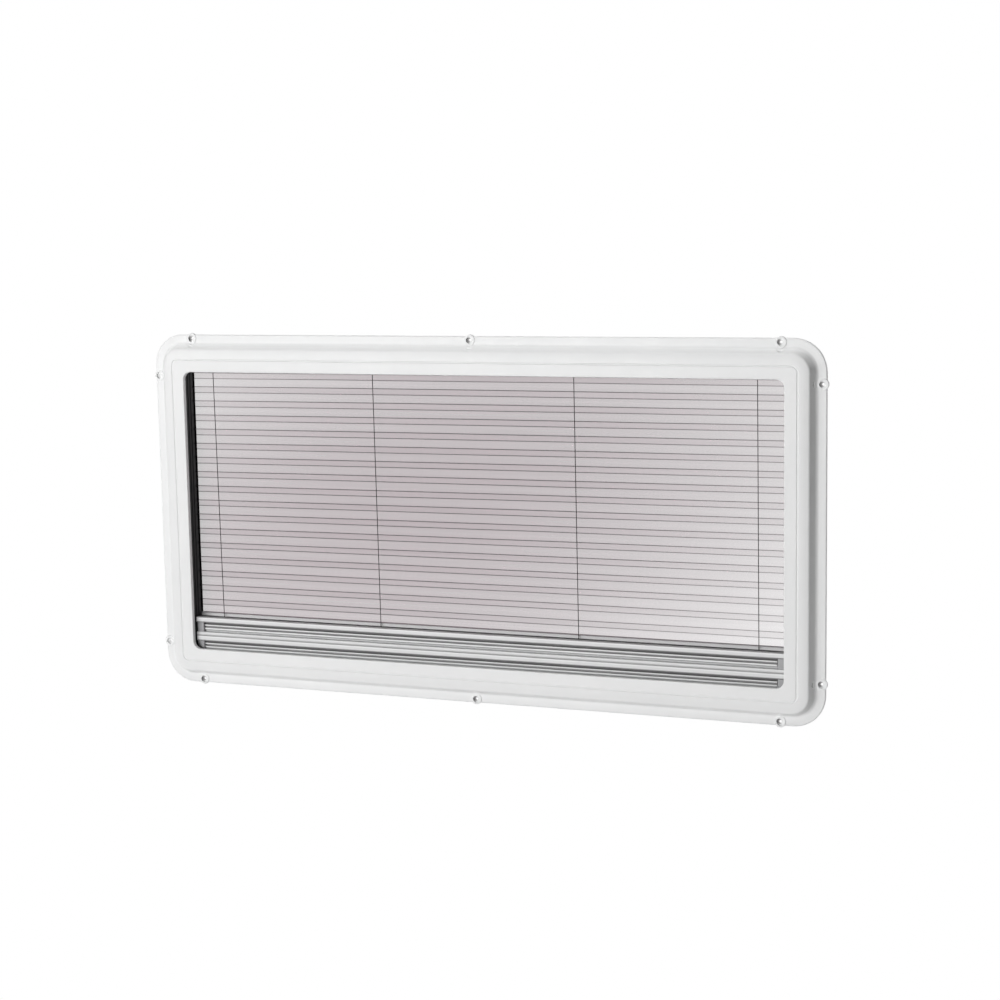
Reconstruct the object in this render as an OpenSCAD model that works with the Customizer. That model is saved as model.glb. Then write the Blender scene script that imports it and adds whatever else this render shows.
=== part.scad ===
// Caravan window surround with its blind cassette, as it sits on the inner face of a caravan wall.
// Every piece is drawn flat, in plan: x runs across, y up, and z out of the wall towards the room.
// stand_on_wall() then turns the plan upright, so that the room lies towards -Y.
// u is a distance outwards from the edge of the opening, and h a height out of the wall.

/* [Opening] */
// Width of the clear opening
opening_w = 900; // [500:10:1400]
// Height of the clear opening
opening_h = 415; // [300:5:700]
// Radius of the corners of the opening
opening_r = 11.5; // [8:0.5:20]

/* [Surround] */
// Height of the front face above the wall
face_h = 18; // [16:0.5:22]
// Wall thickness of the moulding
skin = 2.5; // [1.8:0.1:2.8]
// Width of a member, from the opening to the rim
member_w = 54; // [52:0.5:62]
// Width of the shadow groove
groove_w = 3.4; // [2:0.1:5]
// Depth of the shadow groove
groove_d = 0.8; // [0.3:0.1:1.2]
// Width of the crowned shoulder outside the groove
shoulder_w = 12; // [8:0.5:14]
// Fall of the crowned shoulder
shoulder_drop = 1.2; // [0.5:0.1:2.5]
// Radius of the crest where the shoulder turns down
crest_r = 4; // [3:0.5:6]
// Radius of the cove at the foot of the slope
cove_r = 5; // [2:0.5:8]
// Steepness of the slope in degrees
slope_a = 65; // [55:1:70]
// Width of the outer flange
flange_w = 11; // [9:0.1:13]
// Thickness of the outer flange
flange_t = 3; // [2.5:0.1:5]
// Radius of the rim of the flange
rim_r = 1.8; // [0.5:0.1:2.2]
// Radius of the outer corners
corner_r = 45; // [43:0.5:49]
// Depth of the return inside the opening
return_d = 6; // [4:0.5:8]
// Radius of the front edge of the opening
edge_r = 1.2; // [0.5:0.1:2]
// Thickness of the stiffening ribs
rib_t = 1.6; // [1:0.1:3]
// Spacing of the stiffening ribs
rib_pitch = 110; // [60:5:160]

/* [Screw eyes] */
// Distance of the outer eyes of the top and bottom flanges from the side rims
eye_from_side = 62; // [55:1:120]
// Distance of the eyes of the side flanges from the top and bottom rims
eye_from_end = 60.5; // [55:0.5:120]
// Distance of the eyes inside the rim of the flange
eye_in = 5.5; // [4:0.1:7]
// Radius of the boss round an eye
eye_r = 7.8; // [6.5:0.1:9]
// Height of the boss above the wall
eye_h = 4; // [3.2:0.1:5]
// Radius of the pocket for a screw head
pocket_r = 5; // [4:0.1:5.8]
// Depth of the pocket for a screw head
pocket_d = 2.8; // [1.5:0.1:3]
// Radius of the screw hole
screw_r = 2; // [1.5:0.05:3]
// Height of the ledge that a screwdriver clears in the slope
ledge_h = 6.2; // [6:0.1:9]
// Radius of that ledge
ledge_r = 6; // [4:0.5:7]
// Distance of that ledge inside the eye
ledge_in = 6.5; // [5:0.5:8]

/* [Cassette] */
// Depth of the cassette from its front to its back
cassette_d = 38; // [37:0.5:44]
// Gap between the rails and the inside of the slope
rail_gap = 1.15; // [0.5:0.05:3]
// Wall thickness of the rails
rail_t = 1.8; // [1.2:0.1:2]
// Radius of the outer corners of the rails
rail_r = 2; // [0.5:0.1:3]
// Width of a side guide
guide_w = 14; // [12:0.5:18]
// Wall thickness of a side guide
guide_t = 1.6; // [1.2:0.1:2.2]
// Depth of the grooves along the inner face of a guide
guide_groove_d = 0.8; // [0.3:0.1:1]
// Width of those grooves
guide_groove_w = 5; // [2:0.1:6]
// Set-back of the guide's rear lip behind its inner face
guide_back = 6.5; // [4:0.1:7]
// Height of the leg of a corner bracket beside the guide
bracket_leg = 38; // [20:1:60]

/* [Bars] */
// Height of a blind bar
bar_h = 28; // [26:0.5:30]
// Depth of a blind bar
bar_d = 27; // [26:0.1:27.2]
// Set-back of the lips of a bar behind the front face
bar_back = 10; // [9:0.1:10.5]
// Wall thickness of a bar
bar_t = 1.4; // [1:0.1:2]
// Height of the upper lip of a bar
lip_top = 7.8; // [5:0.1:8.5]
// Height of the lower lip of a bar
lip_low = 5.7; // [4:0.1:6.5]
// Radius of the edges of the lips
lip_r = 1.1; // [0.4:0.1:1.8]
// Drop of a bar's top behind its upper lip
deck_d = 2.5; // [1:0.1:4]
// Depth of the grip recess behind the lips
recess_d = 8; // [5:0.1:9]
// Height of a rib of the grip
grip_rib_h = 2.7; // [2:0.1:3.5]
// Distance between the ribs of the grip
grip_pitch = 5.1; // [4.2:0.1:6]
// Height of the ribs above the floor of the recess
grip_rib_d = 4; // [1:0.1:5]
// Length of bar at each end that the end plug fills
plug_l = 10; // [8:0.5:20]
// Height of the joint between the bars above the edge of the opening
joint_up = 18.5; // [10:0.5:26]

/* [Screens] */
// Depth of the pleats, front fold to back fold
pleat_d = 9.5; // [6:0.1:10]
// Height of one pleat of the flyscreen
pleat_pitch = 21.3; // [14:0.1:30]
// Share by which the pleats open towards the bottom
pleat_sag = 0.045; // [0:0.005:0.1]
// Share of a pleat between its front fold and the back fold under it
pleat_lead = 0.45; // [0.3:0.01:0.7]
// Thickness of the flyscreen mesh
mesh_t = 0.5; // [0.3:0.1:0.8]
// Reach of the screens into a side guide
screen_in = 8; // [4:0.5:9]
// Number of folded layers of the blackout cloth
cloth_layers = 30; // [10:2:36]
// Thickness of the blackout cloth
cloth_t = 0.25; // [0.15:0.05:0.3]
// Height of the cords at the head strip, above the wall
cord_top_h = 0.8; // [-4:0.1:3]
// Height of the cords at the flyscreen bar, above the wall
cord_low_h = -7.3; // [-7.4:0.1:-4]
// Distance of the outer cords inside the opening
cord_edge = 40; // [20:1:80]
// Distance of the inner cords from the middle
cord_inner = 152; // [40:1:190]
// Radius of a cord
cord_r = 0.55; // [0.4:0.05:0.8]

/* [Hidden] */
$fn = 48;
// Small overlap that fuses the pieces of one moulding, and a cut's overshoot
fuse = 0.6;
over = 1;
// Straight steps in a rounded line of the moulding
arc_steps = 8;
crown_steps = 4;

// Landmarks of the surround's section
crest_h = face_h - shoulder_drop;
crown_a = atan(2 * shoulder_drop / shoulder_w);
crest_ch = crest_h - crest_r * cos(crown_a);
slope_top_h = crest_ch + crest_r * cos(slope_a);
slope_low_h = flange_t + cove_r * (1 - cos(slope_a));
cove_u = member_w - flange_w;
slope_low_u = cove_u - cove_r * sin(slope_a);
slope_top_u = slope_low_u - (slope_top_h - slope_low_h) / tan(slope_a);
crest_cu = slope_top_u - crest_r * sin(slope_a);
crest_u = crest_cu + crest_r * sin(crown_a);
shoulder_u = crest_u - shoulder_w;
face_w = shoulder_u - groove_w;
groove_side = groove_w / 3;
inner_crest_r = crest_r - skin;
inner_top_u = crest_cu + inner_crest_r * sin(slope_a);
inner_top_h = crest_ch + inner_crest_r * cos(slope_a);
foot_u = inner_top_u + inner_top_h / tan(slope_a);
corner_u = member_w - corner_r;
// The flat face is a plate that overlaps the swept rim outside it and the swept lip inside it
plate_in = 3.2;
lap = 1;
plate_u = face_w - plate_in;
sweep_u = plate_u - lap;
lip_u = 6;

// Screw eyes and the origin, on the back of the bottom flange inside its middle eye
eye_edge_r = 0.6;
eye_u = member_w - eye_in;
origin_in = 7;
origin_u = eye_u - origin_in;
lift = opening_h / 2 + origin_u;
eye_x = opening_w / 2 + member_w - eye_from_side;
eye_y = opening_h / 2 + member_w - eye_from_end;

// Cassette, seated on the end of the return
seat_h = face_h - return_d;
back_h = seat_h - cassette_d;
rail_u = 1;
rail_out = inner_top_u - rail_gap;
rail_w = rail_out - rail_u;
rib_gap = 1;
rib_foot = 2;
rib_lift = 1;
half_w = opening_w / 2;
half_h = opening_h / 2;
screen_half = half_w + screen_in;
end_gap = 1;
rail_end = screen_half + end_gap;
bracket_w = half_w + rail_out - rail_end;
bracket_r = rail_out - corner_u;
bracket_lap = 34;
bracket_t = 1.6;
bracket_seat = 1;

// Screens and bars
slide_gap = 0.5;
bar_front = face_h - bar_back;
bar_rear = bar_front - bar_d;
screen_mid = bar_rear + pleat_d / 2;
channel_gap = 0.8;
guide_land = 2;
channel_front = screen_mid + pleat_d / 2 + channel_gap;
channel_rear = screen_mid - pleat_d / 2 - channel_gap;
flange_end = 0.8;
recess_h = bar_front - recess_d;
lip_root = 1.5;
grip_h = bar_h - lip_top - lip_low;
grip_gap = 0.2;
grip_t = 0.7;
grip_rib_r = 0.7;
grip_first = 3;
plug_gap = 1.2;
bar_half = half_w - slide_gap - flange_end;
joint_z = joint_up - half_h;
fly_bar_top = joint_z + bar_h;
black_bar_top = joint_z;
black_bar_low = joint_z - bar_h;
strip_t = 3.7;
strip_d = 8.6;
clamp_t = 4;
clamp_step_h = 2.4;
clamp_step_d = 3.4;
rail_floor = half_h + rail_out - rail_t;
screen_top = rail_floor - strip_t;
screen_low = fly_bar_top + clamp_t;
clamp_half = half_w - slide_gap;
first_panel = 7.7;
last_panel = 10.8;
screen_span = screen_top - screen_low - first_panel - last_panel;
pleats = round(screen_span / pleat_pitch + 1 - pleat_lead);
span_count = pleats - 1 + pleat_lead;
cloth_clamp_t = 3;
cloth_top = black_bar_low - cloth_clamp_t;
cloth_low = strip_t - rail_floor;
cloth_pitch = (cloth_top - cloth_low - cloth_t) / (cloth_layers - 1);
cloth_d = pleat_d;
cord_gap = 0.4;
cord_hole_r = cord_r + cord_gap;
cord_end = 0.3;
cord_outer = half_w - cord_edge;
cord_xs = [-cord_outer, -cord_inner, cord_inner, cord_outer];

// Points on a round line whose tangent turns from angle a to angle b; side is 1 on a crest, -1 in a cove
function turn(cu, ch, r, a, b, side = 1) =
  [for (i = [0 : arc_steps]) let (t = a + (b - a) * i / arc_steps)
    [cu + side * r * sin(t), ch + side * r * cos(t)]];
// Crowned shoulder, lowered by a skin thickness, from the groove outwards
function crown(lower) =
  [for (i = [0 : crown_steps]) let (s = i / crown_steps)
    [shoulder_u + s * shoulder_w, face_h - lower - shoulder_drop * s * s]];
function reversed(list) = [for (i = [len(list) - 1 : -1 : 0]) list[i]];
// Outline of the moulding from the flat face to the rim, as [u, h]
function outer_section() = concat(
  [[sweep_u, face_h], [face_w, face_h], [face_w + groove_side, face_h - groove_d],
    [shoulder_u - groove_side, face_h - groove_d]],
  crown(0),
  turn(crest_cu, crest_ch, crest_r, crown_a, slope_a),
  turn(cove_u, flange_t + cove_r, cove_r, slope_a, 0, -1),
  turn(member_w - rim_r, flange_t - rim_r, rim_r, 0, 90),
  [[member_w, 0], [foot_u, 0]],
  turn(crest_cu, crest_ch, inner_crest_r, slope_a, crown_a),
  reversed(crown(skin)),
  [[sweep_u, face_h - skin]]);
// Outline of the rounded edge of the opening and its return
function inner_section() = concat(
  [[0, seat_h]],
  reversed(turn(edge_r, face_h - edge_r, edge_r, 0, -90)),
  [[lip_u, face_h], [lip_u, face_h - skin], [skin, face_h - skin], [skin, seat_h]]);
// Distance of a fold below the first front fold, n pleats down
function fold_drop(n) = screen_span * (n / span_count) * (1 + pleat_sag * (n / span_count - 1));
// Middle line of the flyscreen from its head strip to its clamp strip, as [h, y]
function screen_line() = concat(
  [[screen_mid, screen_top]],
  [for (k = [0 : pleats - 1], back = [0, 1])
    [screen_mid + pleat_d / 2 * (1 - 2 * back),
      screen_top - first_panel - fold_drop(k + back * pleat_lead)]],
  [[screen_mid, screen_low]]);
function moved(list, dh, dy) = [for (p = list) [p[0] + dh, p[1] + dy]];

module stand_on_wall() {
  translate([0, 0, lift]) rotate([90, 0, 0]) children();
}

// Rounded rectangle whose edge lies u outside the opening
module rounded_opening(u, r) {
  w = opening_w + 2 * u;
  h = opening_h + 2 * u;
  square([w - 2 * r, h], center = true);
  square([w, h - 2 * r], center = true);
  for (x = [-1, 1], y = [-1, 1])
    translate([x * (w / 2 - r), y * (h / 2 - r)]) circle(r);
}

// Straight run of a section along one side, half_across from the middle
module side_run(half_across, length, section) {
  translate([half_across, length / 2, 0]) rotate([90, 0, 0]) linear_extrude(length) polygon(section);
}

// Section swept round the opening, with its corners turned about centres at u = centre
module swept_ring(section, centre) {
  for (a = [0, 180]) {
    rotate(a) side_run(half_w, opening_h + 2 * centre, section);
    rotate(a + 90) side_run(half_h, opening_w + 2 * centre, section);
  }
  for (mx = [0, 1], my = [0, 1])
    mirror([mx, 0, 0]) mirror([0, my, 0]) translate([half_w + centre, half_h + centre, 0])
      rotate_extrude(angle = 90) translate([-centre, 0]) polygon(section);
}

// One stiffening rib, across the hollow behind the face and down the slope, clear of the rails
module rib() {
  side = [[skin - fuse, face_h - skin + fuse], [skin - fuse, seat_h], [rail_out + rib_gap, seat_h],
    [foot_u - rib_foot, rib_lift], [foot_u + fuse, rib_lift], [inner_top_u + fuse, inner_top_h],
    [crest_cu, crest_h - skin + fuse], [shoulder_u, face_h - skin + fuse]];
  rotate([90, 0, 0]) linear_extrude(rib_t, center = true) polygon(side);
}

// Ribs evenly spaced along the straight part of each side
module ribs() {
  across = floor(opening_w / rib_pitch / 2);
  upward = floor(opening_h / rib_pitch / 2);
  for (a = [0, 180]) {
    for (i = [-across : across - 1])
      rotate(a + 90) translate([half_h, (i + 0.5) * rib_pitch, 0]) rib();
    for (i = [-upward : upward - 1])
      rotate(a) translate([half_w, (i + 0.5) * rib_pitch, 0]) rib();
  }
}

// Children at every screw eye, with +x pointing outwards
module at_eyes() {
  for (a = [0, 180]) {
    for (s = [-1, 0, 1])
      rotate(a + 90) translate([half_h + eye_u, s * eye_x, 0]) children();
    for (s = [-1, 1])
      rotate(a) translate([half_w + eye_u, s * eye_y, 0]) children();
  }
}

// Boss of one eye, with a rounded edge
module eye_boss() {
  cylinder(r = eye_r, h = eye_h - eye_edge_r);
  cylinder(r = eye_r - eye_edge_r, h = eye_h);
  translate([0, 0, eye_h - eye_edge_r]) rotate_extrude()
    translate([eye_r - eye_edge_r, 0]) intersection() {
      circle(eye_edge_r, $fn = 24);
      square(eye_edge_r);
    }
}

// Pocket, screw hole and screwdriver ledge of one eye
module eye_cut() {
  translate([0, 0, -over]) cylinder(r = screw_r, h = eye_h + over);
  translate([0, 0, eye_h - pocket_d]) cylinder(r = pocket_r, h = face_h);
  translate([-ledge_in, 0, ledge_h]) cylinder(r = ledge_r, h = face_h);
}

module surround_frame() {
  color("whitesmoke") stand_on_wall() difference() {
    union() {
      swept_ring(outer_section(), corner_u);
      swept_ring(inner_section(), -opening_r);
      translate([0, 0, face_h - skin]) linear_extrude(skin) difference() {
        rounded_opening(plate_u, plate_u - corner_u);
        rounded_opening(lip_u - lap, opening_r + lip_u - lap);
      }
      ribs();
      at_eyes() eye_boss();
    }
    at_eyes() eye_cut();
  }
}

// Rectangle with rounded corners
module soft_square(w, h, r) {
  translate([r, 0]) square([w - 2 * r, h]);
  translate([0, r]) square([w, h - 2 * r]);
  for (x = [r, w - r], y = [r, h - r])
    translate([x, y]) circle(r, $fn = 24);
}

// Rail section as [u, h], open towards the window, with two ribs that hold a strip
module rail_section() {
  inner = rail_out - rail_t;
  difference() {
    union() {
      translate([rail_u, back_h]) square([rail_w / 2, cassette_d]);
      translate([rail_u, back_h]) soft_square(rail_w, cassette_d, rail_r);
    }
    translate([0, back_h + rail_t]) square([inner, cassette_d - 2 * rail_t]);
  }
  for (side = [-1, 1])
    translate([inner - strip_t, screen_mid + side * (strip_d / 2 + rail_t / 2) - rail_t / 2])
      square([strip_t + fuse, rail_t]);
}

// A rail along the top edge
module rail() {
  rotate(90) translate([half_h, rail_end, 0]) rotate([90, 0, 0])
    linear_extrude(2 * rail_end) rail_section();
}

module top_rail() {
  color("gainsboro") stand_on_wall() rail();
}

module bottom_rail() {
  color("gainsboro") stand_on_wall() mirror([0, 1, 0]) rail();
}

// Guide section as [u, h]: closed boxes in front and behind, and between them the screens' channel
module guide_section() {
  difference() {
    translate([0, back_h]) square([guide_w, cassette_d]);
    translate([guide_t, channel_front + guide_t])
      square([guide_w - 2 * guide_t, seat_h - channel_front - 2 * guide_t]);
    translate([guide_back + guide_t, back_h + guide_t])
      square([guide_w - guide_back - 2 * guide_t, channel_rear - back_h - 2 * guide_t]);
    translate([-over, channel_rear])
      square([guide_w - guide_t + over, channel_front - channel_rear]);
    translate([-over, back_h - over])
      square([guide_back + over, channel_rear - back_h + 2 * over]);
    for (h = [seat_h - guide_land, seat_h - 2 * guide_land - guide_groove_w])
      translate([-over, h - guide_groove_w]) square([guide_groove_d + over, guide_groove_w]);
  }
}

module guide() {
  length = 2 * (half_h + rail_u);
  translate([half_w, length / 2, 0]) rotate([90, 0, 0]) linear_extrude(length) guide_section();
}

module right_guide() {
  color("dimgray") stand_on_wall() guide();
}

module left_guide() {
  color("dimgray") stand_on_wall() mirror([1, 0, 0]) guide();
}

// Corner bracket at the top right: it closes the rail's end, stands beside the guide and laps the rail
module bracket() {
  inside_x = half_w + guide_w;
  low = half_h + rail_u;
  translate([0, 0, back_h]) linear_extrude(cassette_d - bracket_seat) difference() {
    union() {
      intersection() {
        translate([rail_end, low]) square([bracket_w, rail_w]);
        rounded_opening(rail_out, bracket_r);
      }
      translate([inside_x, low - bracket_leg])
        square([half_w + rail_out - inside_x, bracket_leg + fuse]);
    }
    translate([inside_x + bracket_t, low - bracket_leg + bracket_t])
      square([half_w + rail_out - inside_x - 2 * bracket_t, bracket_leg - bracket_t]);
  }
  translate([rail_end - bracket_lap, half_h + rail_out, back_h])
    cube([bracket_lap + bracket_t, bracket_t, cassette_d - 2 * bracket_seat]);
  translate([rail_end, half_h + rail_out - bracket_t, back_h])
    cube([bracket_t, 2 * bracket_t, cassette_d - 2 * bracket_seat]);
}

module top_right_bracket() {
  color("gray") stand_on_wall() bracket();
}

module top_left_bracket() {
  color("gray") stand_on_wall() mirror([1, 0, 0]) bracket();
}

module bottom_right_bracket() {
  color("gray") stand_on_wall() mirror([0, 1, 0]) bracket();
}

module bottom_left_bracket() {
  color("gray") stand_on_wall() mirror([1, 0, 0]) mirror([0, 1, 0]) bracket();
}

// A shape drawn as [h, y] and drawn out across the window, reach to each side of the middle
module across(reach) {
  translate([-reach, 0, 0]) rotate([0, 90, 0]) mirror([1, 0, 0]) linear_extrude(2 * reach) children();
}

// Height above the wall of the taut cords, which slope back from the head to the bar
function cord_h(y) =
  cord_top_h + (cord_low_h - cord_top_h) * (screen_top - y) / (screen_top - fly_bar_top);

// Round run along a cord between two heights
module cord_run(x, r, low, high) {
  rise = cord_h(high) - cord_h(low);
  translate([x, low, cord_h(low)]) rotate([atan(rise / (high - low)) - 90, 0, 0])
    cylinder(r = r, h = norm([rise, high - low]), $fn = 24);
}

// Passages for the cords, between two heights
module cord_holes(low, high) {
  for (x = cord_xs) cord_run(x, cord_hole_r, low - over, high + over);
}

module flyscreen() {
  line = screen_line();
  color("lightgray") stand_on_wall() across(screen_half)
    polygon(concat(moved(line, mesh_t / 2, 0), reversed(moved(line, -mesh_t / 2, 0))));
}

// Flat strip that holds the edge of a screen, with its lower face at low
module screen_strip(low, t) {
  across(screen_half) translate([screen_mid - strip_d / 2, low]) square([strip_d, t]);
}

module flyscreen_head_strip() {
  color("gray") stand_on_wall() screen_strip(screen_top, strip_t);
}

// The strip stands on the bar's lowered top, and is stepped in front for a seal
module flyscreen_clamp_strip() {
  deck = fly_bar_top - deck_d;
  color("lightgray") stand_on_wall() across(clamp_half) difference() {
    translate([screen_mid - strip_d / 2, deck]) square([strip_d, deck_d + clamp_t]);
    translate([screen_mid + strip_d / 2 - clamp_step_d, deck - over])
      square([clamp_step_d + over, clamp_step_h + over]);
  }
}

// Outline of a bar as [h, y] below its top: a box, and two rounded lips in front of it
module bar_outline() {
  lip_l = recess_d + lip_root;
  translate([bar_rear, -bar_h]) soft_square(recess_h - bar_rear, bar_h - deck_d, lip_r);
  translate([bar_front - lip_l, -lip_top]) soft_square(lip_l, lip_top, lip_r);
  translate([bar_front - lip_l, -bar_h]) soft_square(lip_l, lip_low, lip_r);
}

// The chambers inside a bar: one in the box and one in each lip
module bar_chambers() {
  lip_l = recess_d - bar_t;
  translate([bar_rear + bar_t, bar_t - bar_h])
    square([recess_h - bar_rear - 2 * bar_t, bar_h - deck_d - 2 * bar_t]);
  translate([recess_h, bar_t - lip_top]) square([lip_l, lip_top - 2 * bar_t]);
  translate([recess_h, bar_t - bar_h]) square([lip_l, lip_low - 2 * bar_t]);
}

// Hollow bar whose top lies at the height top
module bar(top) {
  difference() {
    translate([0, top, 0]) across(bar_half) difference() {
      bar_outline();
      bar_chambers();
    }
    cord_holes(top - bar_h, top);
  }
}

module flyscreen_bar() {
  color("silver") stand_on_wall() bar(fly_bar_top);
}

module blackout_bar() {
  color("silver") stand_on_wall() bar(black_bar_top);
}

// Strip with two rounded ribs on the floor of the recess of a bar
module grip(top) {
  translate([0, top - lip_top - grip_h, 0]) across(bar_half - plug_l - plug_gap) {
    translate([recess_h, grip_gap]) square([grip_t, grip_h - 2 * grip_gap]);
    for (y = [0, grip_pitch])
      translate([recess_h, grip_h - grip_first - grip_rib_h - y])
        intersection() {
          translate([-grip_rib_r, 0]) soft_square(grip_rib_d + grip_rib_r, grip_rib_h, grip_rib_r);
          square([grip_rib_d, grip_rib_h]);
        }
  }
}

module flyscreen_grip() {
  color("silver") stand_on_wall() grip(fly_bar_top);
}

module blackout_grip() {
  color("silver") stand_on_wall() grip(black_bar_top);
}

// Right end plug: a block between the lips, an end flange, a spigot in the box and a tongue in the guide
module plug(top) {
  block_t = 5.2;
  block_r = 1.5;
  spigot_gap = 0.2;
  spigot_l = 16;
  tongue_l = 6;
  tongue_in = 4;
  tongue_gap = 1;
  translate([bar_half - plug_l, top - lip_top - grip_h, recess_h]) {
    cube([plug_l + fuse, grip_h, block_t - block_r]);
    translate([block_r, 0, 0]) cube([plug_l + fuse - block_r, grip_h, block_t]);
    translate([block_r, 0, block_t - block_r]) rotate([-90, 0, 0])
      cylinder(r = block_r, h = grip_h, $fn = 24);
  }
  translate([bar_half, top, 0]) rotate([0, 90, 0]) mirror([1, 0, 0]) linear_extrude(flange_end)
    bar_outline();
  translate([bar_half - spigot_l, top - bar_h + bar_t + spigot_gap, bar_rear + bar_t + spigot_gap])
    cube([spigot_l + fuse, bar_h - deck_d - 2 * (bar_t + spigot_gap),
      recess_h - bar_rear - 2 * (bar_t + spigot_gap)]);
  translate([bar_half, top - bar_h + tongue_in, bar_rear + tongue_gap])
    cube([flange_end + tongue_l, bar_h - 2 * tongue_in, channel_front - bar_rear - 2 * tongue_gap]);
}

module flyscreen_right_plug() {
  color("gray") stand_on_wall() plug(fly_bar_top);
}

module flyscreen_left_plug() {
  color("gray") stand_on_wall() mirror([1, 0, 0]) plug(fly_bar_top);
}

module blackout_right_plug() {
  color("gray") stand_on_wall() plug(black_bar_top);
}

module blackout_left_plug() {
  color("gray") stand_on_wall() mirror([1, 0, 0]) plug(black_bar_top);
}

// Folded cloth: flat layers joined in turn at the front and at the back
module blackout_cloth() {
  color("silver") stand_on_wall() across(screen_half) {
    for (i = [0 : cloth_layers - 1])
      translate([screen_mid - cloth_d / 2, cloth_low + i * cloth_pitch]) square([cloth_d, cloth_t]);
    for (i = [0 : cloth_layers - 2])
      translate([screen_mid - cloth_d / 2 + (i % 2) * (cloth_d - cloth_t), cloth_low + i * cloth_pitch])
        square([cloth_t, cloth_pitch + cloth_t]);
  }
}

module blackout_clamp_strip() {
  color("gray") stand_on_wall() screen_strip(cloth_top, black_bar_low - cloth_top);
}

module blackout_foot_strip() {
  color("gray") stand_on_wall() screen_strip(-rail_floor, strip_t);
}

// Taut cord from the floor of the top rail, through the bars, to the ribs of the bottom rail
module cord(x) {
  cord_run(x, cord_r, cloth_low + cord_end, rail_floor - cord_end);
}

module outer_left_cord() {
  color("gray") stand_on_wall() cord(-cord_outer);
}

module inner_left_cord() {
  color("gray") stand_on_wall() cord(-cord_inner);
}

module inner_right_cord() {
  color("gray") stand_on_wall() cord(cord_inner);
}

module outer_right_cord() {
  color("gray") stand_on_wall() cord(cord_outer);
}

surround_frame();
top_rail();
bottom_rail();
left_guide();
right_guide();
top_left_bracket();
top_right_bracket();
bottom_left_bracket();
bottom_right_bracket();
flyscreen();
flyscreen_head_strip();
flyscreen_clamp_strip();
flyscreen_bar();
flyscreen_grip();
flyscreen_left_plug();
flyscreen_right_plug();
blackout_cloth();
blackout_foot_strip();
blackout_clamp_strip();
blackout_bar();
blackout_grip();
blackout_left_plug();
blackout_right_plug();
outer_left_cord();
inner_left_cord();
inner_right_cord();
outer_right_cord();
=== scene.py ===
import math

import bpy
import numpy as np
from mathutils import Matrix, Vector


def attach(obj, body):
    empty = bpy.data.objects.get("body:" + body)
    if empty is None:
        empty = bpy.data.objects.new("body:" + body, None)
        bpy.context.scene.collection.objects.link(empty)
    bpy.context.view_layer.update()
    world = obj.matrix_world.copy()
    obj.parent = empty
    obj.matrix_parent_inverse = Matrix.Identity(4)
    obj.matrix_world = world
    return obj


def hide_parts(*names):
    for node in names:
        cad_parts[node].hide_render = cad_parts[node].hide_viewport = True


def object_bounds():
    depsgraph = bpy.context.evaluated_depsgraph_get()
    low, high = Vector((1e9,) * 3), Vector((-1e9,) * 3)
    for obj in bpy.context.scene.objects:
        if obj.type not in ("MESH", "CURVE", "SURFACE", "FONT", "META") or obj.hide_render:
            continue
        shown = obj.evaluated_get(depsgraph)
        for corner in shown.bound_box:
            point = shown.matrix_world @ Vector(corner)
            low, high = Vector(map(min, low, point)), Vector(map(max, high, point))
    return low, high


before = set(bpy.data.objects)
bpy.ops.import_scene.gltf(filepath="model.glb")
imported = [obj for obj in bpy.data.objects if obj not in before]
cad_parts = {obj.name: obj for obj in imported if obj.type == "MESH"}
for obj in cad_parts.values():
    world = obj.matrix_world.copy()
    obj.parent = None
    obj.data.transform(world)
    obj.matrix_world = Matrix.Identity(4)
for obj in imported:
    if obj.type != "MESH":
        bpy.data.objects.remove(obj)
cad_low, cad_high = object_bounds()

# ---------------------------------------------------------------- sizes, in metres, in the CAD's frame
# Heights on the cassette are counted from the opening's middle, which lies LIFT above the origin.
LIFT = 0.249
SCREEN_HALF = 0.458               # half the width of the net and of the folded cloth
SCREEN_Y = 0.01425                # middle plane of both
PLEAT_D = 0.0095                  # depth of the pleats
UPPER_BAR_TOP, LOWER_BAR_TOP = -0.161, -0.189
# screw eyes as (x, height): the two on the left rim show no shaded pocket
EYES = [(-0.442, 0.256), (0, 0.256), (0.442, 0.256), (-0.442, -0.256), (0, -0.256), (0.442, -0.256),
        (0.4985, 0.201), (0.4985, -0.201)]

# Net: its ends, the first and last panel, the pleats, the share of a pleat from its front fold to its back
# fold, and how much shorter the top pleat and longer the bottom pleat is than the middle one
SCREEN_TOP, SCREEN_LOW = 0.233, -0.157
FIRST_PANEL, LAST_PANEL = 0.0077, 0.0108
PLEATS, LEAD, SAG = 18, 0.45, 0.045
# rows of points near a crease, in metres from it, and on the panel, as shares of its length
CREASE_ROWS, CREASE_REACH, PANEL_ROWS = [0.0, 0.0007, 0.0010], 0.0008, [0.3, 0.5, 0.7]
NET_COLUMNS = 121
# density of a panel that faces down, and of the edges of one that faces up
DENSE_DOWN, DENSE_EDGE = 0.9, 0.25
# waves of a fold along the width: how many, their size, and one whole turn
WAVES, WAVE_SIZE, TURN = 6, 0.00012, 6.28
# the pack of pleats: slope where it hangs most askew, rise in the middle, fall towards the ends
ASKEW, ASKEW_CURVE, RISE, FALL = 0.0054, 1.15, 0.0006, 0.0032
BOW, BOWS = 0.00018, 3            # how far a panel bows, and how often along its width

# Blackout cloth: its layers, lowest and highest point, and how far it stays inside the pleats' depth
LAYERS, CLOTH_LOW, CLOTH_TOP, CLOTH_INSET = 30, -0.2331, -0.2201, 0.0003
# points along a layer: quarters of its depth, and lift as a share of the layers' spacing
LAYER_POINTS = [(0, -0.18), (1, -0.05), (3, 0.05), (4, 0.18)]
CLOTH_COLUMNS = 41

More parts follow.
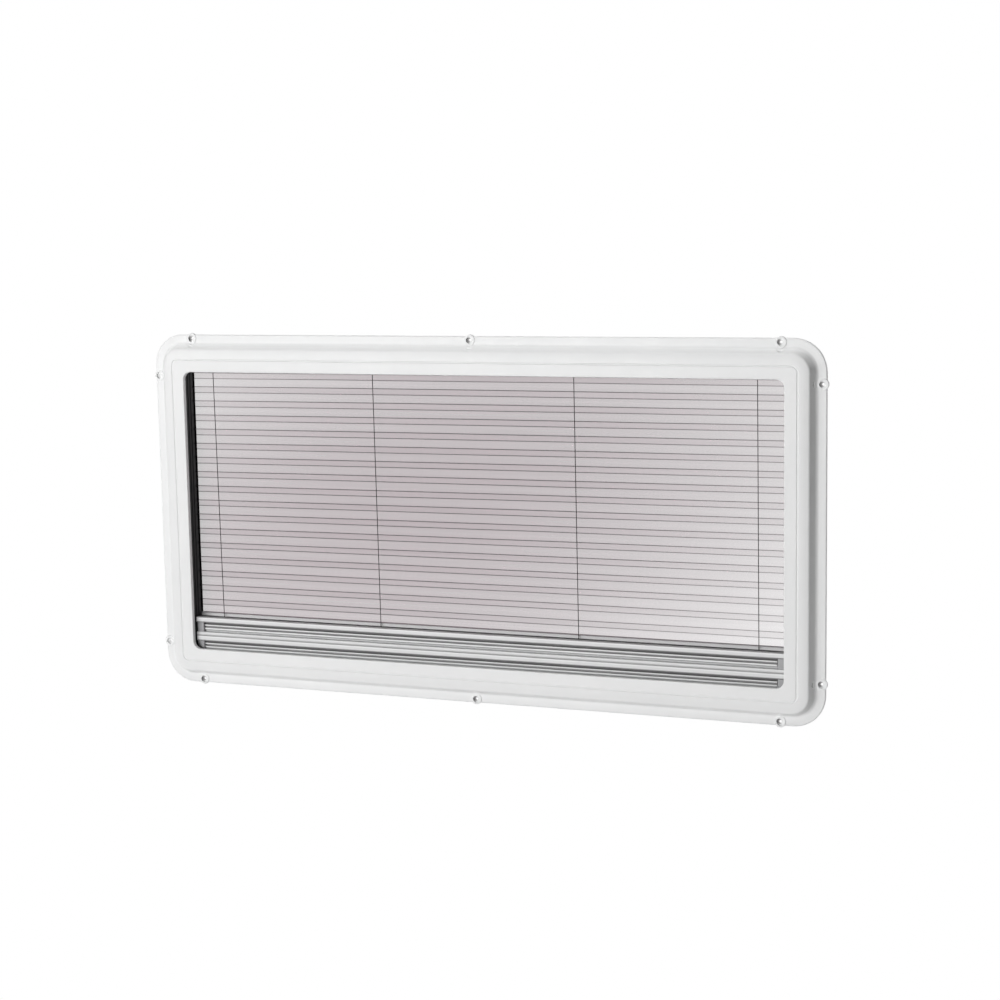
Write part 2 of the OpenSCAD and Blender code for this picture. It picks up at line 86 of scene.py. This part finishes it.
# Black seal lip, which also serves as painted shade in the step over the bar: half its length, its steps, its back
# plane, the bar's lowered top, and its outline in millimetres, as (depth in front of the back plane, height over
# the lowered top)
SEAL_SHADE_HALF, SEAL_SHADE_STEPS, SEAL_SHADE_BACK, DECK = 0.4485, 24, 0.01325, -0.1635
SEAL_SHADE_OUTLINE = [(0, 0.05), (2.0, 0.05), (2.7, 0.2), (3.0, 0.4), (2.6, 0.6), (1.8, 0.7), (0.9, 0.8), (0, 0.8)]

# ---------------------------------------------------------------- looks of the net
# share of the view that the threads cover: in the middle, and its change over the width and the height, which is
# painted light and shade for uneven light behind the net
COVER_MID, UNEVEN_LIGHT_X, UNEVEN_LIGHT_XX, UNEVEN_LIGHT_Z, UNEVEN_LIGHT_ZZ, UNEVEN_LIGHT_XZ = 0.587, -0.062, -0.155, -0.004, -0.088, 0.089
# its change with a panel's density, on a crease and with the threads' streaks, and the most there is
COVER_DENSE, COVER_FOLD, COVER_STREAK, COVER_MOST = 0.110, 0.36, -0.03, 0.97
# reach of that painted light and shade over the width and the height
UNEVEN_LIGHT_HALF_X, UNEVEN_LIGHT_LOW, UNEVEN_LIGHT_TOP = 0.435, -0.15, 0.22
# painted shade on the net where it runs into the guides: where it starts and ends at the middle plane, and how much
# further in it reaches on a fold that lies nearer the room
GUIDE_SHADE_FROM, GUIDE_SHADE_TO, GUIDE_SHADE_LEAN = 0.4497, 0.4502, 0.578

# ---------------------------------------------------------------- painted light and shade on the bars, their grips and the clamp strip, and the bars' coating
# Painted highlights on edges that catch the light and painted shadows in the recess, as (millimetres under the
# bar's top, tone).
BAR_PAINTED_SHADE = [(0, 0.60), (0.35, 0.62), (0.7, 1.0), (1.6, 1.0), (2.6, 0.90), (5.6, 0.86), (6.6, 0.30), (7.8, 0.16),
             (8.5, 0.10)]
# painted light and shade in the lower recess, on the lower lip and at the foot of each bar
UPPER_BAR_FOOT_PAINTED_SHADE = [(18.2, 0.12), (19.6, 0.40), (22.3, 0.80), (22.9, 0.92), (25.0, 0.86), (26.6, 0.50), (28.0, 0.45)]
LOWER_BAR_FOOT_PAINTED_SHADE = [(16.6, 0.12), (17.6, 0.75), (22.3, 1.0), (25.0, 0.96), (26.6, 0.60), (28.0, 0.50)]
GRIP_PAINTED_SHADE = [(8, 0.10), (11.3, 0.10), (11.8, 0.95), (13.5, 0.95), (13.8, 0.30), (16.2, 0.30), (16.7, 1.05),
              (19.2, 1.05)]
# painted light and shade at the foot of each grip
UPPER_GRIP_FOOT_PAINTED_SHADE = [(19.5, 0.36), (20.4, 0.42), (21.2, 0.75), (22.5, 0.8)]
LOWER_GRIP_FOOT_PAINTED_SHADE = [(19.5, 0.80), (22.5, 0.95)]
STRIP_TOP = -0.157
# painted shade along the top of the clamp strip
STRIP_PAINTED_SHADE = [(0, 0.76), (1.0, 0.76), (1.6, 0.90), (7, 1.0)]
PAINTED_SHADE_FRONT, PAINTED_SHADE_BACK = 0.012, 0.015    # the painted light and shade fade out between these depths
BAR_LIGHT, BAR_DARK, BAR_ROUGH, BAR_GRAIN = (0.85, 0.852, 0.855), (0.82, 0.822, 0.825), 0.32, (1, 40, 40)

# ---------------------------------------------------------------- camera and light
LENS, SENSOR, FAR = 73.05, 36, 30
CAMERA_AT = (1.0703, -2.6253, 0.6767)
CAMERA_TURN = (82.012, 1.0064, 21.2834)
# name, place, size and watts of each soft light; all aim at LIGHT_AIM
LIGHT_AIM = (0, 0, 0.25)
LIGHTS = [
    ("key", (-2.4, -5.6, 0.9), (2.4, 1.6), 67),
    ("low", (-1.4, -5.6, 0.35), (2.4, 0.8), 98),
    ("side", (-3.9, -4.6, 0.9), (2.4, 1.6), 80),
    ("top", (0.0, -0.3, 5.0), (2.4, 2.4), 116),
    ("behind", (3.2, 3.8, 0.9), (2.4, 1.6), 85),
]
FLOOR_HALF, FLOOR_DROP, FLOOR_TONE = 6, 0.0005, 0.80

scene = bpy.context.scene
camera_data = bpy.data.cameras.new("camera")
camera_data.lens = LENS
camera_data.sensor_width = SENSOR
camera_data.clip_end = FAR
camera = bpy.data.objects.new("camera", camera_data)
camera.location = CAMERA_AT
camera.rotation_euler = [math.radians(a) for a in CAMERA_TURN]
scene.collection.objects.link(camera)
scene.camera = camera


# ---------------------------------------------------------------- helpers for materials
def feed(nt, socket, value):
    """Link a node's output to a socket, or set the socket to a number, vector or colour."""
    if isinstance(value, bpy.types.NodeSocket):
        nt.links.new(value, socket)
    elif socket.type == "RGBA":
        socket.default_value = (*value, 1)
    else:
        socket.default_value = value


def node(nt, kind, **values):
    n = nt.nodes.new(kind)
    for key, value in values.items():
        if key in n.inputs:
            feed(nt, n.inputs[key], value)
        else:
            setattr(n, key, value)
    return n


def new_material(name):
    m = bpy.data.materials.new(name)
    m.use_nodes = True
    m.node_tree.nodes.clear()
    return m, m.node_tree


def finished(m, nt, shader):
    feed(nt, node(nt, "ShaderNodeOutputMaterial").inputs["Surface"], shader)
    return m


def coords(nt, scale=(1, 1, 1)):
    """Object coordinates in metres, stretched along the axes."""
    where = node(nt, "ShaderNodeTexCoord").outputs["Object"]
    return node(nt, "ShaderNodeMapping", Scale=scale, Vector=where).outputs["Vector"]


def parts(nt, vector):
    return node(nt, "ShaderNodeSeparateXYZ", Vector=vector).outputs


def noise(nt, where, scale, detail=3.0):
    n = node(nt, "ShaderNodeTexNoise", Scale=scale, Detail=detail, Roughness=0.55, Vector=where)
    return n.outputs["Fac"]


def spread(nt, value, low, high, from_low=0.3, from_high=0.7):
    """A value, stretched from one range to another and held inside it. Noise fills about 0.3 to 0.7."""
    limits = {"From Min": from_low, "From Max": from_high, "To Min": low, "To Max": high}
    return node(nt, "ShaderNodeMapRange", Value=value, **limits).outputs["Result"]


def blend_colour(nt, share, a, b, how="MIX"):
    n = node(nt, "ShaderNodeMix", data_type="RGBA", blend_type=how)
    for place, value in ((0, share), (6, a), (7, b)):
        feed(nt, n.inputs[place], value)
    return n.outputs[2]


def mixed(nt, share, a, b):
    n = node(nt, "ShaderNodeMixShader")
    for place, value in enumerate((share, a, b)):
        feed(nt, n.inputs[place], value)
    return n.outputs[0]


def reckoned(nt, operation, *values):
    n = node(nt, "ShaderNodeMath", operation=operation)
    for place, value in enumerate(values):
        feed(nt, n.inputs[place], value)
    return n.outputs[0]


def times(nt, a, b):
    return reckoned(nt, "MULTIPLY", a, b)


def weighted(nt, weights, start):
    """The start, plus each value times its weight."""
    total = start
    for value, weight in weights:
        total = reckoned(nt, "MULTIPLY_ADD", value, weight, total)
    return total


def bump(nt, height, distance):
    return node(nt, "ShaderNodeBump", Distance=distance, Strength=1.0, Height=height).outputs["Normal"]


def principled(nt, colour, rough, normal, **values):
    inputs = {"Base Color": colour, "Roughness": rough, "Normal": normal, **values}
    return node(nt, "ShaderNodeBsdfPrincipled", **inputs).outputs[0]


# ---------------------------------------------------------------- materials
def eye_shadow(nt):
    """1 on the left side of a screw eye's pocket, which lies in its own shadow, and 0 elsewhere."""
    # how far left the shadow's middle lies, where it is full and where it ends, and the pocket's edge
    shift, full, gone = 0.0018, 0.0028, 0.0040
    edge, under_edge = -0.0038, -0.0031
    flat = coords(nt, (1, 0, 1))
    away = []
    for x, z in EYES:
        middle = node(nt, "ShaderNodeVectorMath", operation="DISTANCE")
        feed(nt, middle.inputs[0], flat)
        feed(nt, middle.inputs[1], (x - shift, 0, LIFT + z))
        away.append(middle.outputs["Value"])
    nearest = away[0]
    for value in away[1:]:
        nearest = reckoned(nt, "MINIMUM", nearest, value)
    depth = parts(nt, coords(nt))["Y"]
    return times(nt, spread(nt, nearest, 1, 0, full, gone), spread(nt, depth, 0, 1, edge, under_edge))


def moulded_white():
    """Fine satin thermoformed plastic: faint cloudy tone, orange-peel grain."""
    m, nt = new_material("white moulding")
    where = coords(nt)
    cloud = spread(nt, noise(nt, where, 9, 4), 0, 1)
    plain = blend_colour(nt, cloud, (0.845, 0.85, 0.85), (0.87, 0.872, 0.87))
    colour = blend_colour(nt, eye_shadow(nt), plain, (0.30, 0.295, 0.295))
    rough = spread(nt, noise(nt, where, 120), 0.34, 0.44)
    grain = bump(nt, noise(nt, where, 1500, 2), 0.00003)
    return finished(m, nt, principled(nt, colour, rough, grain, **{"IOR": 1.49, "Specular IOR Level": 0.42}))


def painted_shade_over_height(nt, top, stops):
    """Painted light and shade between stops of (millimetres under the height top, tone), on the front side only."""
    place = parts(nt, coords(nt))
    reach = stops[-1][0]
    ramp = node(nt, "ShaderNodeValToRGB")
    band = ramp.color_ramp
    while len(band.elements) < len(stops):
        band.elements.new(0.5)
    for element, (down, tone) in zip(band.elements, stops):
        element.position = down / reach
        element.color = (tone, tone, tone, 1)
    feed(nt, ramp.inputs[0], spread(nt, place["Z"], 0, 1, LIFT + top, LIFT + top - reach / 1000))
    return blend_colour(nt, spread(nt, place["Y"], 1, 0, PAINTED_SHADE_FRONT, PAINTED_SHADE_BACK), (1, 1, 1), ramp.outputs[0])


def coated(name, light, dark, rough, along, top=0, stops=None):
    """Satin coating on an extrusion, with a drawing grain, and painted light and shade over the height where stops
    are given.
    """
    m, nt = new_material(name)
    grain = noise(nt, coords(nt, along), 900)
    cloud = noise(nt, coords(nt), 14)
    colour = blend_colour(nt, times(nt, spread(nt, grain, 0, 1), spread(nt, cloud, 0.4, 1)), dark, light)
    if stops:
        # the painted light and shade darken and lighten the coating's colour
        colour = blend_colour(nt, 1, colour, painted_shade_over_height(nt, top, stops), "MULTIPLY")
    rough = spread(nt, grain, rough - 0.05, rough + 0.07)
    return finished(m, nt, principled(nt, colour, rough, bump(nt, grain, 0.00002), **{"Specular IOR Level": 0.6}))


def bar_coating_with_painted_shade(name, top, stops):
    return coated(name, BAR_LIGHT, BAR_DARK, BAR_ROUGH, BAR_GRAIN, top, stops)


def plastic(name, light, dark, rough, gloss=0.45):
    """Injection-moulded plastic with a fine spark-eroded grain."""
    m, nt = new_material(name)
    where = coords(nt)
    colour = blend_colour(nt, spread(nt, noise(nt, where, 45, 4), 0, 1), dark, light)
    grain = noise(nt, where, 2600, 2)
    rough = spread(nt, grain, rough - 0.06, rough + 0.08)
    return finished(m, nt, principled(nt, colour, rough, bump(nt, grain, 0.00004), **{"Specular IOR Level": gloss}))


def cord_material():
    m, nt = new_material("braided cord")
    wave = node(nt, "ShaderNodeTexWave", Scale=700, Distortion=1.5, Detail=1, Vector=coords(nt))
    wave.bands_direction = "DIAGONAL"
    braid = wave.outputs["Fac"]
    colour = blend_colour(nt, braid, (0.022, 0.020, 0.021), (0.055, 0.050, 0.052))
    return finished(m, nt, principled(nt, colour, 0.8, bump(nt, braid, 0.0001), **{"Specular IOR Level": 0.2}))


def mesh_material():
    """Fine woven net: dark threads over the light behind them, denser where a crease presses two layers, with
    painted shade on the creases, painted light and shade over its width and height, and painted shade at its ends
    in the guides.
    """
    m, nt = new_material("screen mesh")
    # the second UV map holds 1 along a crease and 0 on a panel, and the panel's density
    marks = parts(nt, node(nt, "ShaderNodeUVMap", uv_map="crease").outputs["UV"])
    fold, dense = marks["X"], marks["Y"]
    place = parts(nt, coords(nt))
    streak = noise(nt, coords(nt, (3, 8, 260)), 1)
    slub = noise(nt, coords(nt, (300, 1, 8)), 1, 2)
    tone = times(nt, spread(nt, streak, 0, 1), spread(nt, slub, 0.6, 1))
    panel = blend_colour(nt, tone, (0.208, 0.084, 0.124), (0.272, 0.138, 0.180))
    # darker on a crease, partly for the pressed double layer and partly as painted shade in the fold
    colour = blend_colour(nt, fold, panel, (0.060, 0.046, 0.050))
    rough = spread(nt, noise(nt, coords(nt), 1200, 2), 0.68, 0.82)
    sheen = {"Specular IOR Level": 0.25, "Sheen Weight": 0.1}
    lit = principled(nt, colour, rough, bump(nt, tone, 0.00008), **sheen)
    through = node(nt, "ShaderNodeBsdfTranslucent", Color=(0.60, 0.57, 0.58)).outputs[0]
    threads = mixed(nt, spread(nt, fold, 0.25, 0.15, 0.0, 1.0), lit, through)
    # painted light and shade: the cover changes smoothly over the width and height for uneven light behind the net
    across = spread(nt, place["X"], -1, 1, -UNEVEN_LIGHT_HALF_X, UNEVEN_LIGHT_HALF_X)
    up = spread(nt, place["Z"], -1, 1, LIFT + UNEVEN_LIGHT_LOW, LIFT + UNEVEN_LIGHT_TOP)
    cover = weighted(nt, [(times(nt, across, across), UNEVEN_LIGHT_XX), (across, UNEVEN_LIGHT_X), (times(nt, up, up), UNEVEN_LIGHT_ZZ),
                          (up, UNEVEN_LIGHT_Z), (times(nt, across, up), UNEVEN_LIGHT_XZ), (dense, COVER_DENSE),
                          (tone, COVER_STREAK), (fold, COVER_FOLD)], COVER_MID)
    clear = node(nt, "ShaderNodeBsdfTransparent").outputs[0]
    net = mixed(nt, reckoned(nt, "MINIMUM", cover, COVER_MOST), clear, threads)
    # painted shade: the net is black where it runs into the guides
    guide_shade = node(nt, "ShaderNodeBsdfDiffuse", Roughness=0.8, Color=(0.012, 0.012, 0.013)).outputs[0]
    out_x = reckoned(nt, "ABSOLUTE", place["X"])
    lean = weighted(nt, [(place["Y"], -GUIDE_SHADE_LEAN), (out_x, 1.0)], GUIDE_SHADE_LEAN * SCREEN_Y)
    return finished(m, nt, mixed(nt, spread(nt, lean, 0.0, 1.0, GUIDE_SHADE_FROM, GUIDE_SHADE_TO), net, guide_shade))


def cloth_material():
    m, nt = new_material("blackout cloth")
    weave = noise(nt, coords(nt, (900, 300, 900)), 1, 2)
    colour = blend_colour(nt, spread(nt, weave, 0, 1), (0.52, 0.52, 0.54), (0.64, 0.64, 0.66))
    sheen = {"Specular IOR Level": 0.4, "Sheen Weight": 0.1}
    return finished(m, nt, principled(nt, colour, spread(nt, weave, 0.5, 0.7), bump(nt, weave, 0.00006), **sheen))


RAIL_GRAIN = (2, 60, 60)
WHITE = moulded_white()
RAIL = coated("white rail", (0.85, 0.855, 0.855), (0.80, 0.805, 0.81), 0.38, RAIL_GRAIN)
# bars, grips and clamp strip carry painted light and shade over their height
BAR_A = bar_coating_with_painted_shade("upper bar coating with painted shade", UPPER_BAR_TOP, BAR_PAINTED_SHADE + UPPER_BAR_FOOT_PAINTED_SHADE)
BAR_B = bar_coating_with_painted_shade("lower bar coating with painted shade", LOWER_BAR_TOP, BAR_PAINTED_SHADE + LOWER_BAR_FOOT_PAINTED_SHADE)
GRIP_A = bar_coating_with_painted_shade("upper grip coating with painted shade", UPPER_BAR_TOP, GRIP_PAINTED_SHADE + UPPER_GRIP_FOOT_PAINTED_SHADE)
GRIP_B = bar_coating_with_painted_shade("lower grip coating with painted shade", LOWER_BAR_TOP, GRIP_PAINTED_SHADE + LOWER_GRIP_FOOT_PAINTED_SHADE)
PLUG = plastic("end plug", (0.44, 0.44, 0.45), (0.38, 0.38, 0.39), 0.42)
BLACK = plastic("black guide", (0.014, 0.014, 0.015), (0.008, 0.008, 0.009), 0.55, 0.25)
GREY = plastic("grey plastic", (0.33, 0.33, 0.34), (0.27, 0.27, 0.28), 0.48)
STRIP = coated("pale strip with painted shade", (0.74, 0.735, 0.74), (0.70, 0.695, 0.70), 0.42, RAIL_GRAIN, STRIP_TOP, STRIP_PAINTED_SHADE)
CORD = cord_material()
MESH = mesh_material()
CLOTH = cloth_material()

FINISH = {
    "surround_frame": WHITE, "top_rail": RAIL, "bottom_rail": RAIL, "left_guide": BLACK, "right_guide": BLACK,
    "flyscreen_bar": BAR_A, "blackout_bar": BAR_B, "flyscreen_grip": GRIP_A, "blackout_grip": GRIP_B,
    "flyscreen_left_plug": PLUG, "flyscreen_right_plug": PLUG,
    "blackout_left_plug": PLUG, "blackout_right_plug": PLUG, "flyscreen_clamp_strip": STRIP,
    "outer_left_cord": CORD, "inner_left_cord": CORD, "inner_right_cord": CORD, "outer_right_cord": CORD,
}
for name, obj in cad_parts.items():
    obj.data.materials.clear()
    obj.data.materials.append(FINISH.get(name, GREY))


# ---------------------------------------------------------------- helpers for new pieces
def add_piece(name, verts, faces, material, uvs=None):
    me = bpy.data.meshes.new(name)
    me.from_pydata(verts, [], faces)
    for layer, values in (uvs or {}).items():
        data = me.uv_layers.new(name=layer).data
        for loop in me.loops:
            data[loop.index].uv = values[loop.vertex_index]
    me.materials.append(material)
    me.update()
    o = bpy.data.objects.new(name, me)
    scene.collection.objects.link(o)
    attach(o, "root")
    return o


def grid_faces(rows, columns):
    return [(a, a + 1, a + columns + 1, a + columns)
            for r in range(rows - 1) for a in range(r * columns, (r + 1) * columns - 1)]


def steps(line):
    """Lengths between the points of a line."""
    return np.linalg.norm(np.diff(line, axis=0), axis=1)


# ---------------------------------------------------------------- flyscreen
def fold_drop(n):
    """Distance of a fold below the first front fold, n pleats down."""
    span = SCREEN_TOP - SCREEN_LOW - FIRST_PANEL - LAST_PANEL
    share = n / (PLEATS - 1 + LEAD)
    return span * share * (1 + SAG * (share - 1))


def screen_folds():
    """(y, height) of the head strip's edge, of every fold and of the clamp strip, from the top down."""
    line = [(SCREEN_Y, SCREEN_TOP)]
    for k in range(PLEATS):
        for back in (0, 1):
            y = SCREEN_Y - PLEAT_D / 2 * (1 - 2 * back)
            line.append((y, SCREEN_TOP - FIRST_PANEL - fold_drop(k + back * LEAD)))
    line.append((SCREEN_Y, SCREEN_LOW))
    return np.array(line)


def fold_wander(count, across, xs):
    """How far each fold lies over its level place, along the width, and the phases of its waves."""
    rng = np.random.default_rng(5)
    waves = rng.normal(0, 1, (count, WAVES)) * WAVE_SIZE
    waves[0] = waves[-1] = 0
    phases = rng.uniform(0, TURN, (count, WAVES))
    wander = [sum(waves[k][j] * np.sin(TURN * (j + 1) * across + phases[k][j]) / (j + 1) for j in range(WAVES))
              for k in range(count)]
    for k in range(1, count - 1):
        share = ((k - 1) // 2 + LEAD * ((k - 1) % 2)) / (PLEATS - 1 + LEAD)
        wander[k] = wander[k] + ASKEW * xs * math.sin(math.pi * share ** ASKEW_CURVE) + RISE - FALL * xs ** 2
    return wander, phases


def build_flyscreen():
    folds = screen_folds()
    # each row's place, its panel, its share of the panel's length, and its marks: crease and density
    rows, places, marks = [], [], []
    for i in range(len(folds) - 1):
        length = float(np.linalg.norm(folds[i + 1] - folds[i]))
        shares = [d / length for d in CREASE_ROWS] + PANEL_ROWS + [1 - d / length for d in CREASE_ROWS[:0:-1]]
        for s in shares:
            rows.append(folds[i] * (1 - s) + folds[i + 1] * s)
            places.append((i, s))
            at_strip = i == 0 and s < 0.5
            on_crease = min(s, 1 - s) * length < CREASE_REACH and not at_strip
            # a panel that faces down is seen more edge-on, and one that faces up is denser towards its creases
            marks.append((float(on_crease), DENSE_DOWN if i % 2 else DENSE_EDGE * abs(2 * s - 1)))
    rows.append(folds[-1])
    places.append((len(folds) - 2, 1.0))
    marks.append((0.0, DENSE_EDGE))
    length = np.concatenate([[0], np.cumsum(steps(np.array(rows)))])
    xs = np.linspace(-SCREEN_HALF, SCREEN_HALF, NET_COLUMNS)
    across = (xs + SCREEN_HALF) / (2 * SCREEN_HALF)
    wander, phases = fold_wander(len(folds), across, xs)
    verts, cloth, crease = [], [], []
    for r, ((y, z), (i, s)) in enumerate(zip(rows, places)):
        dz = wander[i] * (1 - s) + wander[i + 1] * s
        side = -1 if i % 2 else 1
        dy = side * BOW * math.sin(math.pi * s) * np.sin(TURN * BOWS * across + phases[i][0])
        for c in range(NET_COLUMNS):
            verts.append((float(xs[c]), float(y + dy[c]), float(LIFT + z + dz[c])))
            cloth.append((float(across[c]), float(length[r] / length[-1])))
            crease.append(marks[r])
    piece = add_piece("flyscreen_mesh", verts, grid_faces(len(rows), NET_COLUMNS), MESH,
                      uvs={"cloth": cloth, "crease": crease})
    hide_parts("flyscreen")


# ---------------------------------------------------------------- blackout cloth, folded on its foot strip
def build_blackout():
    pitch = (CLOTH_TOP - CLOTH_LOW) / LAYERS
    ends = (SCREEN_Y - PLEAT_D / 2 + CLOTH_INSET, SCREEN_Y + PLEAT_D / 2 - CLOTH_INSET)
    line = []
    for i in range(LAYERS):
        z = CLOTH_LOW + (i + 0.5) * pitch
        start, end = ends[::-1] if i % 2 else ends
        for quarters, lift in LAYER_POINTS:
            line.append(((start * (4 - quarters) + end * quarters) / 4, z + pitch * lift))
    xs = np.linspace(-SCREEN_HALF, SCREEN_HALF, CLOTH_COLUMNS)
    verts = [(float(x), y, LIFT + z) for y, z in line for x in xs]
    cloth = [(float(x + SCREEN_HALF) / (2 * SCREEN_HALF), r / (len(line) - 1))
             for r in range(len(line)) for x in xs]
    piece = add_piece("blackout_folds", verts, grid_faces(len(line), CLOTH_COLUMNS), CLOTH,
                      uvs={"cloth": cloth})
    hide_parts("blackout_cloth")


# ---------------------------------------------------------------- rubber seal in front of the clamp strip, also painted shade in the step there
def build_seal_and_shade():
    """A soft black lip that lies in the step between the clamp strip and the bar's top, a seal that also serves as
    painted shade in that step.
    """
    verts = [(float(x), SEAL_SHADE_BACK - depth / 1000, LIFT + DECK + height / 1000)
             for x in np.linspace(-SEAL_SHADE_HALF, SEAL_SHADE_HALF, SEAL_SHADE_STEPS + 1) for depth, height in SEAL_SHADE_OUTLINE]
    k = len(SEAL_SHADE_OUTLINE)
    faces = [(i * k + j, i * k + (j + 1) % k, (i + 1) * k + (j + 1) % k, (i + 1) * k + j)
             for i in range(SEAL_SHADE_STEPS) for j in range(k)]
    faces += [tuple(range(k - 1, -1, -1)), tuple(SEAL_SHADE_STEPS * k + j for j in range(k))]
    add_piece("clamp_strip_seal_and_shade", verts, faces, BLACK)


build_flyscreen()
build_blackout()
build_seal_and_shade()


# ---------------------------------------------------------------- floor, backdrop and light
def white_ground():
    """Pale ground that lights the object from below, and that a camera sees as plain white."""
    m, nt = new_material("ground")
    path = node(nt, "ShaderNodeLightPath").outputs
    seen = reckoned(nt, "MAXIMUM", path["Is Camera Ray"], path["Is Glossy Ray"])
    seen = reckoned(nt, "MAXIMUM", seen, path["Is Transmission Ray"])
    lit = node(nt, "ShaderNodeBsdfDiffuse", Color=(FLOOR_TONE, FLOOR_TONE, FLOOR_TONE)).outputs[0]
    white = node(nt, "ShaderNodeEmission", Strength=1.0).outputs[0]
    return finished(m, nt, mixed(nt, seen, lit, white))


def white_world():
    """A world that a camera sees as plain white, and that gives no light of its own."""
    world = bpy.data.worlds.new("world")
    world.use_nodes = True
    nt = world.node_tree
    nt.nodes.clear()
    path = node(nt, "ShaderNodeLightPath").outputs
    seen = reckoned(nt, "MAXIMUM", path["Is Camera Ray"], path["Is Transmission Ray"])
    dark = node(nt, "ShaderNodeBackground", Strength=0.0).outputs[0]
    white = node(nt, "ShaderNodeBackground", Strength=1.0, Color=(1, 1, 1)).outputs[0]
    feed(nt, node(nt, "ShaderNodeOutputWorld").inputs["Surface"], mixed(nt, seen, dark, white))
    return world


def area_light(name, where, size, power):
    data = bpy.data.lights.new(name, "AREA")
    data.shape = "RECTANGLE"
    data.size, data.size_y = size
    data.energy = power
    o = bpy.data.objects.new(name, data)
    o.location = where
    o.rotation_euler = (Vector(LIGHT_AIM) - Vector(where)).to_track_quat("-Z", "Y").to_euler()
    scene.collection.objects.link(o)


floor_z = float(cad_low.z) - FLOOR_DROP
corners = [(-1, -1), (1, -1), (1, 1), (-1, 1)]
floor_mesh = bpy.data.meshes.new("floor")
floor_mesh.from_pydata([(x * FLOOR_HALF, y * FLOOR_HALF, floor_z) for x, y in corners], [], [(0, 1, 2, 3)])
floor_mesh.materials.append(white_ground())
floor = bpy.data.objects.new("floor", floor_mesh)
scene.collection.objects.link(floor)
scene.world = white_world()
for light in LIGHTS:
    area_light(*light)

# ---------------------------------------------------------------- the end
scene.view_settings.view_transform = "Standard"
